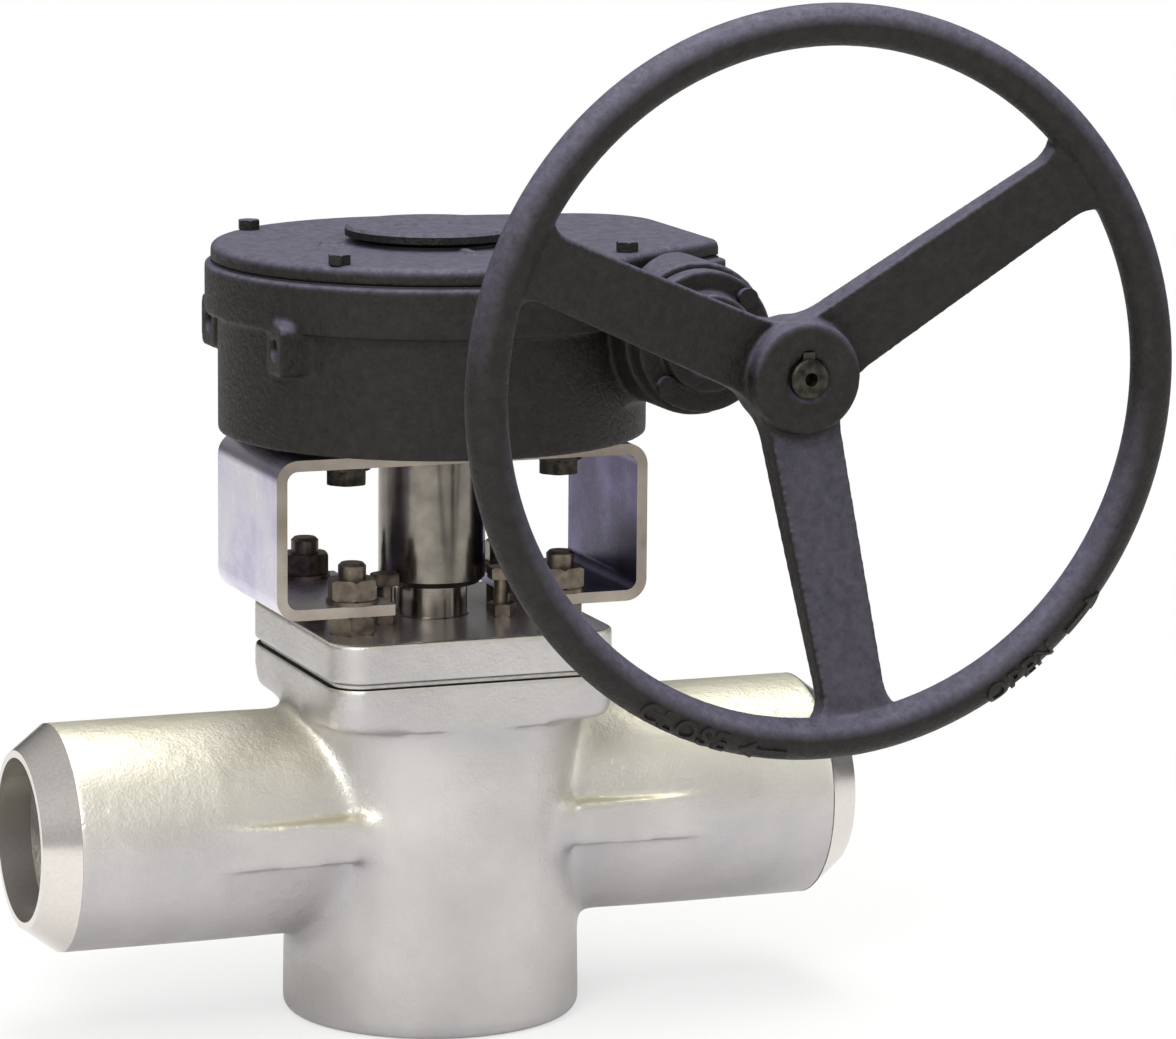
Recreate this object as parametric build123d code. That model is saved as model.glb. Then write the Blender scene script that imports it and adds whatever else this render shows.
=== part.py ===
from build123d import *

import math
import os

# Sleeved plug valve with butt-weld ends, a bent mounting bracket, a worm gearbox and a handwheel.
# Origin: centre of the valve body's flat bottom, on the stem axis.  +Z up the stem, +X along the flow,
# -Y towards the handwheel.  Millimetres.  The valve is drawn open.

# ---- driving dimensions: valve body -------------------------------------------------------------
pipe_od = 114.3             # NPS 4 weld stub
bore_d = 82.0
end_to_end = 432.0
bevel_length = 17.0
land_width = 3.6            # flat ring left at each weld end
pipe_z = 102.0              # height of the flow axis
body_r = 75.5               # at the foot
body_top_r = 73.5           # casting draft narrows it under the flange
foot_fillet = 6.0
flange_side = 149.0
flange_corner = 17.0
flange_under_z = 158.0
flange_thick = 24.0
rib_height = 22.0           # flat band along each stub, at the parting line
rib_proud = 1.5
rib_reach = 136.0           # where the band runs out, from the stem axis
rib_knee = 96.0             # outside this its face slopes into the stub
waist_half = 49.0           # each stub narrows to this beside the plug's slot
waist_end_x = 126.0         # the stub is round again from here out
waist_start_x = 64.0
neck_height = 9.0           # flare under the flange
seat_margin = 6.0           # the round bore ends this far outside the plug
stud_hole_extra = 2.0

# ---- driving dimensions: plug and seals ---------------------------------------------------------
plug_bottom_z = 22.0
plug_top_z = 168.0
plug_bottom_r = 43.0
plug_taper = 3.0            # half angle, degrees
sleeve_wall = 3.0
sleeve_inset = 5.0          # sleeve stops this short of the plug's ends
port_width = 60.0
port_height = 92.0
port_corner = 14.0
stem_r = 18.0
turn_gap = 0.3              # between turning and fixed round faces
edge_break = 1.5            # chamfer on turned ends
run_gap = 0.05              # radial running fit in a bush or bearing
snug_gap = 0.02             # radial, between pieces that are fixed to each other
floor_gap = 4.0             # room under the plug

# ---- driving dimensions: bonnet and its fasteners ------------------------------------------------
ptfe_thick = 1.4
foil_thick = 0.8
diaphragm_inset = 3.0
bonnet_thick = 19.8
collar_pocket_depth = 11.6
collar_r = 44.0
collar_wall_gap = 0.5
collar_thick = 7.4
seal_r = 25.0
stud_r = 7.0
stud_x = 55.0
stud_y = 38.0
stud_depth = 20.0
stud_top = 8.0              # stands out of the upper nut
nut_flats = 22.0
lower_nut_height = 9.5
upper_nut_height = 10.5
washer_thick = 2.0
washer_r = 13.0
adjuster_r = 4.0
adjuster_ring = 36.0
adjuster_angles = (90.0, 210.0, 330.0)
adjuster_flats = 13.0
adjuster_nut_height = 6.5
adjuster_height = 25.0      # top of the head above the bonnet
adjuster_head = 6.0
adjuster_nut_turn = 15.0
lower_nut_turn = 8.0        # how each row of nuts happens to stand, degrees
upper_nut_turn = 22.0

# ---- driving dimensions: bracket ----------------------------------------------------------------
plate = 5.5
bracket_width = 195.0
bracket_depth = 98.0
bracket_height = 80.0
bend_r = 11.0
foot_tip_x = 36.0           # inner end of each foot, from the stem axis
foot_notch_r = 10.5

# ---- driving dimensions: coupling ---------------------------------------------------------------
coupling_r = 27.0
coupling_bottom_z = 220.5
coupling_chamfer = 3.0
coupling_socket = 44.0      # how far the stem reaches into it
shaft_r = 20.0              # upper spigot, inside the worm wheel
window_r = 31.0             # clearance hole through bracket and gearbox foot
key_width = 8.0
key_depth = 4.0             # into the shaft
key_height = 7.0
key_margin = 5.0            # slot left free below the stem key
key_end = 2.0
wheel_key_reach = 20.0      # below the worm wheel's hub face
coupling_top_gap = 4.0      # under the lid

# ---- driving dimensions: gearbox ----------------------------------------------------------------
pad_r = 75.0
pad_height = 5.0
drum_r = 107.5
drum_height = 60.0          # below the rim
rim_r = 114.0
rim_height = 25.0
floor_thick = 9.0
cavity_r = 96.0
gasket_thick = 0.8
lid_thick = 8.7
lid_inset = 3.0
lobe_x = 144.0
lobe_front_y = -36.0        # where the lobe's slanted front edge meets its side
lobe_back_y = 52.0          # where its side starts to curve round to the back
lobe_back_r = 46.0
lobe_height = 65.0
box_bolt_r = 6.0
box_bolt_x = 56.0
box_bolt_y = 32.0
box_bolt_flats = 19.0
box_bolt_head = 7.5
box_washer_thick = 2.5
box_washer_r = 12.0
box_bolt_reach = 16.0
box_bolt_turn = 10.0
hole_extra = 0.5            # blind holes are this much deeper than the bolt
lid_screw_r = 4.0
lid_screw_ring = 103.5
lid_screw_angles = (41.0, 135.0, 225.0, 319.0)
lid_screw_head_r = 5.75
lid_screw_head = 5.0
lid_screw_reach = 14.0
lid_screw_turn = 20.0
lid_edge = 3.5              # rounded top edge of the cast lid
lid_mark = (12.0, 4.0, 3.0) # raised pointer beside the disc
lid_mark_ring = 53.0
lid_mark_angles = (180.0, 270.0)
lid_mark_height = 0.5
room_gap = 3.0              # round the worm
stop_y = 54.5
stop_r = 5.0
stop_boss_width = 23.0
stop_boss_height = 26.0
stop_boss_x = 101.0
stop_boss_round = 4.0
stop_drop = 4.0             # stop screws sit this far below the worm axis
stop_recess = 5.0

# ---- driving dimensions: worm, wheel and shaft ---------------------------------------------------
module = 4.0
wheel_teeth = 40
worm_pitch_r = 20.0
worm_height = 354.0         # height of the worm axis
wheel_thick = 28.0
wheel_hub_r = 32.0
wheel_spigot_r = 24.0
bush_wall = 4.0
sector_cut = 38.0           # flat faces of the toothed sector, from the stem axis
stop_gap = 0.3
backlash = 0.9
thread_turns = 6
worm_core_r = 15.0
worm_shaft_r = 10.0
bearing_r = 21.0
bearing_width = 12.0
bearing_y = 60.0            # shoulders that hold the two bearings
barrel_r = 38.0
barrel_front_y = -108.0
barrel_rear_y = 108.0
cap_r = 35.0
cap_thick = 11.0
cap_nose_r = 24.0
cap_nose = 8.0
cap_spigot_wall = 3.5
seal_width = 6.0
cap_screw_r = 3.0
cap_screw_ring = 29.5
cap_screw_head_r = 5.0
cap_screw_head = 4.0
cap_screw_reach = 12.0
cap_screw_angles = (45.0, 135.0, 225.0, 315.0)
cap_recess = 3.0            # hollow behind the cap's disc
seal_wall = 6.0
disc_r = 44.0
disc_thick = 5.0
disc_gap = 3.5
disc_screw_r = 3.0
disc_screw_x = 14.0
disc_screw_head_r = 5.0
disc_screw_head = 3.0       # sunk flush
disc_screw_reach = 9.0

# ---- driving dimensions: handwheel ---------------------------------------------------------------
wheel_ring_r = 167.5        # middle of the rim's round section
wheel_wire_r = 10.0
wheel_plane_y = -268.0
hub_r = 27.0
hub_length = 32.0
hub_back_y = -216.0
spoke_hub_width = 37.0
spoke_rim_width = 31.0
spoke_hub_thick = 17.0
spoke_rim_thick = 12.0
spoke_angles = (35.0, 155.0, 275.0)
spoke_turn = 1.5            # how far the wheel happens to be turned
spoke_hub_fillet = 30.0
spoke_rim_fillet = 16.0
drive_r = 9.5               # shaft inside the handwheel
drive_end = 3.0             # shaft end stands out of the hub
hand_key = 6.0
grub_r = 4.0
grub_y = 6.0                # from the back of the hub
grub_sunk = 3.0
centre_hole_r = 3.2
centre_hole_depth = 8.0
spoke_shift = 3.0           # spokes sit behind the middle of the hub

# ---- levels and sizes that follow -----------------------------------------------------------------
flange_top_z = flange_under_z + flange_thick
foil_z = flange_top_z + ptfe_thick
bonnet_z = foil_z + foil_thick
bonnet_top_z = bonnet_z + bonnet_thick
pocket_top_z = bonnet_z + collar_pocket_depth
collar_z = pocket_top_z - collar_thick
foot_z = bonnet_top_z + lower_nut_height
foot_top_z = foot_z + plate
bracket_top_z = foot_z + bracket_height
bracket_under_z = bracket_top_z - plate
drum_z = bracket_top_z + pad_height
rim_z = drum_z + drum_height
split_z = rim_z + rim_height
floor_z = drum_z + floor_thick
lid_z = split_z + gasket_thick
lid_top_z = lid_z + lid_thick
lobe_z = split_z - lobe_height
disc_z = lid_top_z + disc_gap
upper_nut_z = foot_top_z + washer_thick
stud_end_z = upper_nut_z + upper_nut_height + stud_top
stud_start_z = flange_top_z - stud_depth
coupling_shoulder_z = drum_z + 1.0
wheel_bottom_z = drum_z + 2.0
wheel_z = worm_height - wheel_thick / 2
wheel_pitch_r = module * wheel_teeth / 2
worm_x = wheel_pitch_r + worm_pitch_r
stop_z = worm_height - stop_drop
tooth_pitch = math.pi * module
lead_angle = math.degrees(math.atan(tooth_pitch / (2 * math.pi * worm_pitch_r)))
pipe_r = pipe_od / 2
bore_r = bore_d / 2
half_length = end_to_end / 2
hub_front_y = hub_back_y - hub_length
stud_places = [(sx * stud_x, sy * stud_y) for sx in (-1, 1) for sy in (-1, 1)]
box_bolt_places = [(sx * box_bolt_x, sy * box_bolt_y) for sx in (-1, 1) for sy in (-1, 1)]


def polar(radius, angle):
    return radius * math.cos(math.radians(angle)), radius * math.sin(math.radians(angle))


def plug_r(z):
    """Radius of the plug's cone at height z."""
    return plug_bottom_r + (z - plug_bottom_z) * math.tan(math.radians(plug_taper))


def post(radius, low, high, x=0.0, y=0.0):
    """Round bar along Z."""
    return Pos(x, y, low) * extrude(Circle(radius), high - low)


def bar_y(radius, start, end, x=0.0, z=0.0):
    """Round bar along Y."""
    return Pos(x, (start + end) / 2, z) * Rot(90, 0, 0) * Cylinder(radius, abs(end - start))


def bar_x(radius, start, end, y=0.0, z=0.0):
    """Round bar along X."""
    return Pos((start + end) / 2, y, z) * Rot(0, 90, 0) * Cylinder(radius, abs(end - start))


def block(low, high):
    """Box between two opposite corners."""
    size = [h - l for l, h in zip(low, high)]
    middle = [(l + h) / 2 for l, h in zip(low, high)]
    return Pos(*middle) * Box(*size)


def hexagon(flats, low, high, x=0.0, y=0.0, angle=0.0):
    """Hexagonal prism along Z, with its edges broken at both ends as on a forged nut."""
    outline = RegularPolygon(flats / 2, 6, major_radius=False)
    raw = Pos(x, y, low) * Rot(0, 0, angle) * extrude(outline, high - low)
    corner = flats / math.sqrt(3)
    round_bar = Cylinder(corner, high - low)
    round_bar = chamfer(round_bar.edges().filter_by(GeomType.CIRCLE), corner * 0.08)
    return raw & (Pos(x, y, (low + high) / 2) * round_bar)


def cone(low_r, high_r, low, high):
    return Pos(0, 0, (low + high) / 2) * Cone(low_r, high_r, high - low)


def save(node, shapes):
    """Write one node; several equal pieces stay separate solids in it."""
    solids = [s for shape in shapes for s in shape.solids()]
    shape = solids[0] if len(solids) == 1 else Compound(children=solids)
    export_step(shape, f"parts/{node}.step")
    print(node, len(solids), round(sum(s.volume for s in solids)))


# ---- valve ----------------------------------------------------------------------------------------
def port(extra=0.0):
    """The rounded slot that the flow passes, from before the plug to behind it."""
    slot = RectangleRounded(port_width + extra, port_height + extra, port_corner)
    return Pos(-body_r, 0, pipe_z) * extrude(Plane.YZ * slot, 2 * body_r)


def make_stubs():
    """The run of pipe from end to end, with a long weld bevel and a narrow flat land at each end."""
    land_r = bore_r + land_width
    bevel_start = half_length - bevel_length
    outline = make_face(Polyline((-half_length, 0), (-half_length, land_r), (-bevel_start, pipe_r),
                                 (bevel_start, pipe_r), (half_length, land_r), (half_length, 0), close=True))
    return Pos(0, 0, pipe_z) * revolve(outline, Axis.X)


def make_waist():
    """The stubs' middle: round outside, narrowing to an upright oval beside the plug's tall slot."""
    oval = Ellipse(waist_half, pipe_r)
    sections = [Plane.YZ.offset(waist_end_x) * Circle(pipe_r), Plane.YZ.offset(waist_start_x) * oval]
    side = loft(sections)
    middle = Plane.YZ.offset(-waist_start_x) * extrude(oval, 2 * waist_start_x)
    return Pos(0, 0, pipe_z) * (side + side.mirror(Plane.YZ) + middle)


def make_rib():
    """Flat band along the parting line, on both sides of both stubs."""
    face_y, foot_y = pipe_r + rib_proud, waist_half - 4
    rib = make_face(Polyline((0, face_y), (rib_knee, face_y), (rib_reach, pipe_r - 1), (rib_reach, foot_y),
                             (0, foot_y), close=True))
    rib = Pos(0, 0, pipe_z - rib_height / 2) * extrude(rib, rib_height)
    rib = rib + rib.mirror(Plane.YZ)
    return rib + rib.mirror(Plane.XZ)


def make_body():
    shell = cone(body_r, body_top_r, 0, flange_under_z)
    shell = fillet(shell.edges().group_by(Axis.Z)[0], foot_fillet)
    flange_plan = RectangleRounded(flange_side, flange_side, flange_corner)
    flange = Pos(0, 0, flange_under_z) * extrude(flange_plan, flange_thick)
    neck = cone(body_top_r, flange_side / 2 - 0.2, flange_under_z - neck_height, flange_under_z)
    gap = block((-waist_end_x, -body_r, 0), (waist_end_x, body_r, 2 * pipe_z))
    body = (make_stubs() - gap) + make_waist() + make_rib() + shell + neck + flange
    seat_low = plug_bottom_z - floor_gap
    wall = sleeve_wall + turn_gap
    seat = cone(plug_r(seat_low) + wall, plug_r(flange_top_z) + wall, seat_low, flange_top_z)
    bore_start = plug_r(pipe_z) + seat_margin
    body = body - seat - port()
    body = body - bar_x(bore_r, -half_length, -bore_start, z=pipe_z)
    body = body - bar_x(bore_r, bore_start, half_length, z=pipe_z)
    for x, y in stud_places:
        body = body - post(stud_r + snug_gap, stud_start_z - stud_hole_extra, flange_top_z, x, y)
    return body


def make_sleeve():
    low = plug_bottom_z + sleeve_inset
    high = plug_top_z - sleeve_inset
    wall = turn_gap + sleeve_wall - snug_gap
    outside = cone(plug_r(low) + wall, plug_r(high) + wall, low, high)
    inside = cone(plug_r(low) + turn_gap, plug_r(high) + turn_gap, low, high)
    return outside - inside - port(4.0)


def make_plug():
    plug = cone(plug_r(plug_bottom_z), plug_r(plug_top_z), plug_bottom_z, plug_top_z)
    plug = chamfer(plug.edges().filter_by(GeomType.CIRCLE), edge_break)
    stem = post(stem_r, plug_top_z, coupling_bottom_z + coupling_socket)
    plug = plug + chamfer(stem.edges().group_by(Axis.Z)[-1], edge_break) - port()
    slot_low = coupling_bottom_z + key_margin - 1
    return plug - key_slot(stem_r, slot_low, coupling_bottom_z + coupling_socket)


def key_slot(radius, low, high):
    return block((radius - key_depth, -key_width / 2, low), (radius + key_height, key_width / 2, high))


def make_key(radius, low, high):
    return block((radius - key_depth + snug_gap, -key_width / 2 + snug_gap, low),
                 (radius - key_depth + key_height - snug_gap, key_width / 2 - snug_gap, high))


def key_room(radius, low, high):
    """The slot in the hub that takes the outer half of a key."""
    return block((0, -key_width / 2, low), (radius - key_depth + key_height, key_width / 2, high))


def diaphragm(low, thick):
    side = flange_side - 2 * diaphragm_inset
    sheet = Pos(0, 0, low) * extrude(RectangleRounded(side, side, flange_corner - diaphragm_inset), thick)
    sheet = sheet - post(stem_r + turn_gap, low, low + thick)
    for x, y in stud_places:
        sheet = sheet - post(stud_r + turn_gap, low, low + thick, x, y)
    return sheet


def make_bonnet():
    plan = RectangleRounded(flange_side, flange_side, flange_corner)
    bonnet = Pos(0, 0, bonnet_z) * extrude(plan, bonnet_thick)
    bonnet = fillet(bonnet.edges().group_by(Axis.Z)[-1], edge_break)
    bonnet = bonnet - post(collar_r + collar_wall_gap, bonnet_z, pocket_top_z)
    bonnet = bonnet - post(stem_r + turn_gap, bonnet_z, bonnet_top_z)
    for x, y in stud_places:
        bonnet = bonnet - post(stud_r + turn_gap, bonnet_z, bonnet_top_z, x, y)
    for angle in adjuster_angles:
        x, y = polar(adjuster_ring, angle)
        bonnet = bonnet - post(adjuster_r + snug_gap, pocket_top_z, bonnet_top_z, x, y)
    return bonnet


def make_adjuster(angle):
    x, y = polar(adjuster_ring, angle)
    top = bonnet_top_z + adjuster_height
    head = hexagon(adjuster_flats, top - adjuster_head, top, x, y, angle)
    return head + post(adjuster_r, pocket_top_z, top - adjuster_head, x, y)


def make_adjuster_nut(angle):
    x, y = polar(adjuster_ring, angle)
    top = bonnet_top_z + adjuster_nut_height
    nut = hexagon(adjuster_flats, bonnet_top_z, top, x, y, angle + adjuster_nut_turn)
    return nut - post(adjuster_r + snug_gap, bonnet_top_z, top, x, y)


def make_nut(flats, bore, low, high, x, y, angle=0.0):
    return hexagon(flats, low, high, x, y, angle) - post(bore + snug_gap, low, high, x, y)


def make_washer(radius, bore, low, thick, x, y):
    return post(radius, low, low + thick, x, y) - post(bore + turn_gap, low, low + thick, x, y)


def make_stud(x, y):
    stud = post(stud_r, stud_start_z, stud_end_z, x, y)
    return chamfer(stud.edges().filter_by(GeomType.CIRCLE), edge_break)


# ---- bracket --------------------------------------------------------------------------------------
def make_bracket():
    middle_z = foot_z + bracket_height / 2
    outside = RectangleRounded(bracket_width, bracket_height, bend_r)
    inside = RectangleRounded(bracket_width - 2 * plate, bracket_height - 2 * plate, bend_r - plate)
    mouth = Pos(0, -bracket_height / 2) * Rectangle(2 * foot_tip_x, 2 * plate + 1)
    profile = Plane.XZ * (outside - inside - mouth)
    bracket = Pos(0, 0, middle_z) * extrude(profile, bracket_depth / 2, both=True)
    bracket = bracket - post(window_r, bracket_under_z, bracket_top_z)
    for x, y in box_bolt_places:
        bracket = bracket - post(box_bolt_r + turn_gap, bracket_under_z, bracket_top_z, x, y)
    for x, y in stud_places:
        bracket = bracket - post(stud_r + turn_gap, foot_z, foot_top_z, x, y)
    for angle in adjuster_angles:
        bracket = bracket - post(foot_notch_r, foot_z, foot_top_z, *polar(adjuster_ring, angle))
    return bracket


def make_box_bolt(x, y):
    head_top = bracket_under_z - box_washer_thick
    head = hexagon(box_bolt_flats, head_top - box_bolt_head, head_top, x, y, box_bolt_turn)
    return head + post(box_bolt_r, head_top, bracket_top_z + box_bolt_reach, x, y)


# ---- coupling and worm wheel ----------------------------------------------------------------------
def make_coupling():
    lower = post(coupling_r, coupling_bottom_z, coupling_shoulder_z)
    lower = chamfer(lower.edges().filter_by(GeomType.CIRCLE), coupling_chamfer)
    coupling = lower + post(shaft_r, coupling_shoulder_z, lid_z - coupling_top_gap)
    socket_end = coupling_bottom_z + coupling_socket + 1
    coupling = coupling - post(stem_r + snug_gap, coupling_bottom_z, socket_end)
    coupling = coupling - key_room(stem_r, coupling_bottom_z, socket_end)
    return coupling - key_slot(shaft_r, wheel_z - wheel_key_reach, wheel_z + wheel_thick + key_end + 2)


def tooth(angle):
    """One straight tooth of the worm wheel, tilted by the worm's lead angle."""
    tip, root = wheel_pitch_r + module, wheel_pitch_r - 1.25 * module
    half = (tooth_pitch / 2 - backlash) / 2
    slope = math.tan(math.radians(20))
    half_tip, half_root = half - slope * module, half + slope * 1.25 * module
    outline = make_face(Polyline((root - 2, -half_root), (root, -half_root), (tip, -half_tip),
                                 (tip, half_tip), (root, half_root), (root - 2, half_root), close=True))
    prism = extrude(outline, wheel_thick, both=True)
    return Rot(0, 0, angle) * Rot(-lead_angle, 0, 0) * prism


def make_worm_wheel():
    root = wheel_pitch_r - 1.25 * module
    gear = extrude(Circle(root), wheel_thick / 2, both=True)
    step = 360 / wheel_teeth
    rest_teeth = [k * step for k in range(-2, 13)]
    band = extrude(Circle(wheel_pitch_r + module), wheel_thick / 2, both=True)
    for angle in rest_teeth:
        gear = gear + (tooth(angle) & band)
    reach = 2 * wheel_pitch_r
    gear = gear & block((-sector_cut, -sector_cut, -wheel_thick), (reach, reach, wheel_thick))
    gear = Pos(0, 0, worm_height) * gear
    gear = gear + post(wheel_hub_r, wheel_bottom_z, wheel_z + wheel_thick)
    gear = gear + post(wheel_spigot_r + 4, wheel_z + wheel_thick, lid_z - 2)
    gear = gear + post(wheel_spigot_r, lid_z - 2, disc_z)
    gear = gear - post(shaft_r + snug_gap, wheel_bottom_z, lid_z - 3)
    gear = gear - key_room(shaft_r, wheel_bottom_z, lid_z - 3)
    for sign in (-1, 1):
        gear = gear - post(disc_screw_r + snug_gap, disc_z - disc_screw_reach - 1, disc_z, sign * disc_screw_x)
    return gear


# ---- gearbox ----------------------------------------------------------------------------------------
def case_plan(radius, inset=0.0):
    """Outline of the case: a round drum with a lobe round the worm, its front edge cut slantwise."""
    side = lobe_x - inset
    turn = lobe_back_r - inset
    front = (side, lobe_front_y + inset)
    front_inner = polar(radius - 1, 300)
    back_inner = polar(radius - 1, 76)
    turn_end = (side - turn, lobe_back_y + turn)
    turn_middle = (side - turn * (1 - math.sqrt(0.5)), lobe_back_y + turn * math.sqrt(0.5))
    edges = Polyline(back_inner, (0, 0), front_inner, front, (side, lobe_back_y))
    edges = edges + ThreePointArc((side, lobe_back_y), turn_middle, turn_end) + Line(turn_end, back_inner)
    return Circle(radius) + make_face(edges)


def worm_room():
    """Hollow for the worm inside the case, open towards the wheel and the lid."""
    width = worm_pitch_r + module + room_gap
    half = bearing_y - hole_extra
    tube = bar_y(width, -half, half, worm_x, worm_height)
    return tube + block((worm_x - width, -half, worm_height), (worm_x + width, half, split_z))


def make_housing():
    drum = post(drum_r, drum_z, split_z) + post(pad_r, bracket_top_z, drum_z)
    rim = post(rim_r, rim_z, split_z)
    lobe = Pos(0, 0, lobe_z) * extrude(case_plan(drum_r), split_z - lobe_z)
    barrel = bar_y(barrel_r, barrel_front_y, barrel_rear_y, worm_x, worm_height)
    lid_space = Pos(0, 0, split_z) * extrude(case_plan(rim_r), 40)
    case = drum + rim + lobe + (barrel - lid_space)
    for sign in (-1, 1):
        boss_low = (-stop_boss_x, sign * stop_y - stop_boss_width / 2, stop_z - stop_boss_height / 2)
        boss_high = (-cavity_r / 2, sign * stop_y + stop_boss_width / 2, stop_z + stop_boss_height / 2)
        case = case + fillet(block(boss_low, boss_high).edges().filter_by(Axis.X), stop_boss_round)
    case = case - post(cavity_r, floor_z, split_z) - worm_room()
    case = case - bar_y(bearing_r + snug_gap, barrel_front_y, barrel_rear_y, worm_x, worm_height)
    case = case - post(window_r, bracket_top_z, drum_z)
    case = case - post(wheel_hub_r + bush_wall + snug_gap, drum_z, floor_z)
    for x, y in box_bolt_places:
        hole_end = bracket_top_z + box_bolt_reach + hole_extra
        case = case - post(box_bolt_r + snug_gap, bracket_top_z, hole_end, x, y)
    for angle in lid_screw_angles:
        x, y = polar(lid_screw_ring, angle)
        case = case - post(lid_screw_r + snug_gap, lid_top_z - lid_screw_reach - 1, split_z, x, y)
    for sign in (-1, 1):
        case = case - bar_x(stop_r + snug_gap, -stop_boss_x, -cavity_r / 2, sign * stop_y, stop_z)
    for end in (barrel_front_y, barrel_rear_y):
        inward = end - math.copysign(cap_screw_reach + 1, end)
        for x, z in cap_screw_places():
            case = case - bar_y(cap_screw_r + snug_gap, end, inward, x, z)
    return case


def cap_screw_places():
    offsets = [polar(cap_screw_ring, angle) for angle in cap_screw_angles]
    return [(worm_x + dx, worm_height + dz) for dx, dz in offsets]


def make_gasket():
    plan = case_plan(rim_r, lid_inset) & case_plan(rim_r - lid_inset, lid_inset)
    sheet = Pos(0, 0, split_z) * extrude(plan, gasket_thick)
    sheet = sheet - Pos(0, 0, split_z - 1) * extrude(Circle(cavity_r), 5)
    width = worm_pitch_r + module + room_gap
    sheet = sheet - block((worm_x - width, -bearing_y, split_z - 1), (worm_x + width, bearing_y, lid_z + 1))
    for angle in lid_screw_angles:
        sheet = sheet - post(lid_screw_r + turn_gap, split_z, lid_z, *polar(lid_screw_ring, angle))
    return sheet


def make_lid():
    lid = Pos(0, 0, lid_z) * extrude(case_plan(rim_r - lid_inset, lid_inset), lid_thick)
    lid = fillet(lid.edges().group_by(Axis.Z)[-1], lid_edge)
    lid = lid - post(wheel_spigot_r + bush_wall + snug_gap, lid_z, lid_top_z)
    for angle in lid_screw_angles:
        lid = lid - post(lid_screw_r + turn_gap, lid_z, lid_top_z, *polar(lid_screw_ring, angle))
    for angle in lid_mark_angles:
        x, y = polar(lid_mark_ring, angle)
        lid = lid + Pos(x, y, lid_top_z + lid_mark_height) * Rot(0, 0, angle) * Box(*lid_mark)
    return lid


def make_lid_screw(angle):
    x, y = polar(lid_screw_ring, angle)
    flats = 2 * lid_screw_head_r * math.cos(math.radians(30))
    head = hexagon(flats, lid_top_z, lid_top_z + lid_screw_head, x, y, lid_screw_turn)
    return head + post(lid_screw_r, lid_top_z - lid_screw_reach, lid_top_z, x, y)


def make_stop_screw(sign):
    return bar_x(stop_r, -stop_boss_x + stop_recess, -sector_cut - stop_gap, sign * stop_y, stop_z)


def bush(radius, low, high):
    return post(radius + bush_wall, low, high) - post(radius + run_gap, low, high)


def bearing(start, end):
    ring = bar_y(bearing_r, start, end, worm_x, worm_height)
    return ring - bar_y(worm_shaft_r + run_gap, start, end, worm_x, worm_height)


def make_cap(end, outward, open_end):
    """Bearing cap: a disc on the barrel's end with a spigot that holds the bearing in."""
    disc_end = end + outward * cap_thick
    spigot_end = outward * (bearing_y + bearing_width)
    cap = bar_y(cap_r, end, disc_end, worm_x, worm_height)
    cap = cap + bar_y(cap_nose_r, disc_end, disc_end + outward * cap_nose, worm_x, worm_height)
    cap = cap + bar_y(bearing_r, spigot_end, end, worm_x, worm_height)
    cap = cap - bar_y(bearing_r - cap_spigot_wall, spigot_end, end + outward * cap_recess, worm_x, worm_height)
    if open_end:
        seat = disc_end + outward * (cap_nose - seal_width)
        cap = cap - bar_y(drive_r + turn_gap + 1, end, disc_end + outward * cap_nose, worm_x, worm_height)
        cap = cap - bar_y(drive_r + seal_wall, seat, disc_end + outward * cap_nose, worm_x, worm_height)
    for x, z in cap_screw_places():
        cap = cap - bar_y(cap_screw_r + turn_gap, end, disc_end, x, z)
    return cap


def cap_screws(end, outward):
    head = end + outward * cap_thick
    screws = []
    for x, z in cap_screw_places():
        shank = bar_y(cap_screw_r, end - outward * cap_screw_reach, head, x, z)
        screws.append(shank + bar_y(cap_screw_head_r, head, head + outward * cap_screw_head, x, z))
    return screws


def make_shaft_seal():
    nose = barrel_front_y - cap_thick - cap_nose
    ring = bar_y(drive_r + seal_wall - snug_gap, nose, nose + seal_width, worm_x, worm_height)
    return ring - bar_y(drive_r + turn_gap, nose, nose + seal_width, worm_x, worm_height)


# ---- worm shaft and handwheel -----------------------------------------------------------------------
def make_worm_shaft():
    length = thread_turns * tooth_pitch
    tip, root = worm_pitch_r + module, worm_core_r - 0.6
    slope = math.tan(math.radians(20))
    half = tooth_pitch / 4 - 0.1
    half_tip, half_root = half - slope * module, half + slope * (worm_pitch_r - root)
    start = -length / 2
    path = Pos(0, 0, start) * Helix(tooth_pitch, length, worm_pitch_r)
    outline = Plane.XZ * make_face(Polyline((root, start - half_root), (tip, start - half_tip),
                                            (tip, start + half_tip), (root, start + half_root), close=True))
    thread = sweep(outline, path=path, is_frenet=True)
    core = Cylinder(worm_core_r, length + 2 * tooth_pitch)
    worm = Pos(worm_x, 0, worm_height) * Rot(-90, 0, 0) * (core + thread)
    inner_end = bearing_y + bearing_width
    shaft = bar_y(worm_shaft_r, -inner_end - 2, inner_end, worm_x, worm_height)
    shoulder = bar_y(worm_shaft_r + 3, -bearing_y + 1, bearing_y - 1, worm_x, worm_height)
    drive = bar_y(drive_r, hub_front_y - drive_end, -inner_end - 2, worm_x, worm_height)
    drive = chamfer(drive.edges().filter_by(GeomType.CIRCLE), 1.0)
    shaft = worm + shaft + shoulder + drive
    shaft = shaft - hand_key_block(0.0)
    shaft_end = hub_front_y - drive_end
    return shaft - bar_y(centre_hole_r, shaft_end, shaft_end + centre_hole_depth, worm_x, worm_height)


def hand_key_block(gap):
    low = worm_height + drive_r - hand_key / 2 + gap
    high = worm_height + drive_r + hand_key / 2 - gap
    return block((worm_x - hand_key / 2 + gap, hub_front_y + gap, low),
                 (worm_x + hand_key / 2 - gap, hub_back_y - gap, high))


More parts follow.
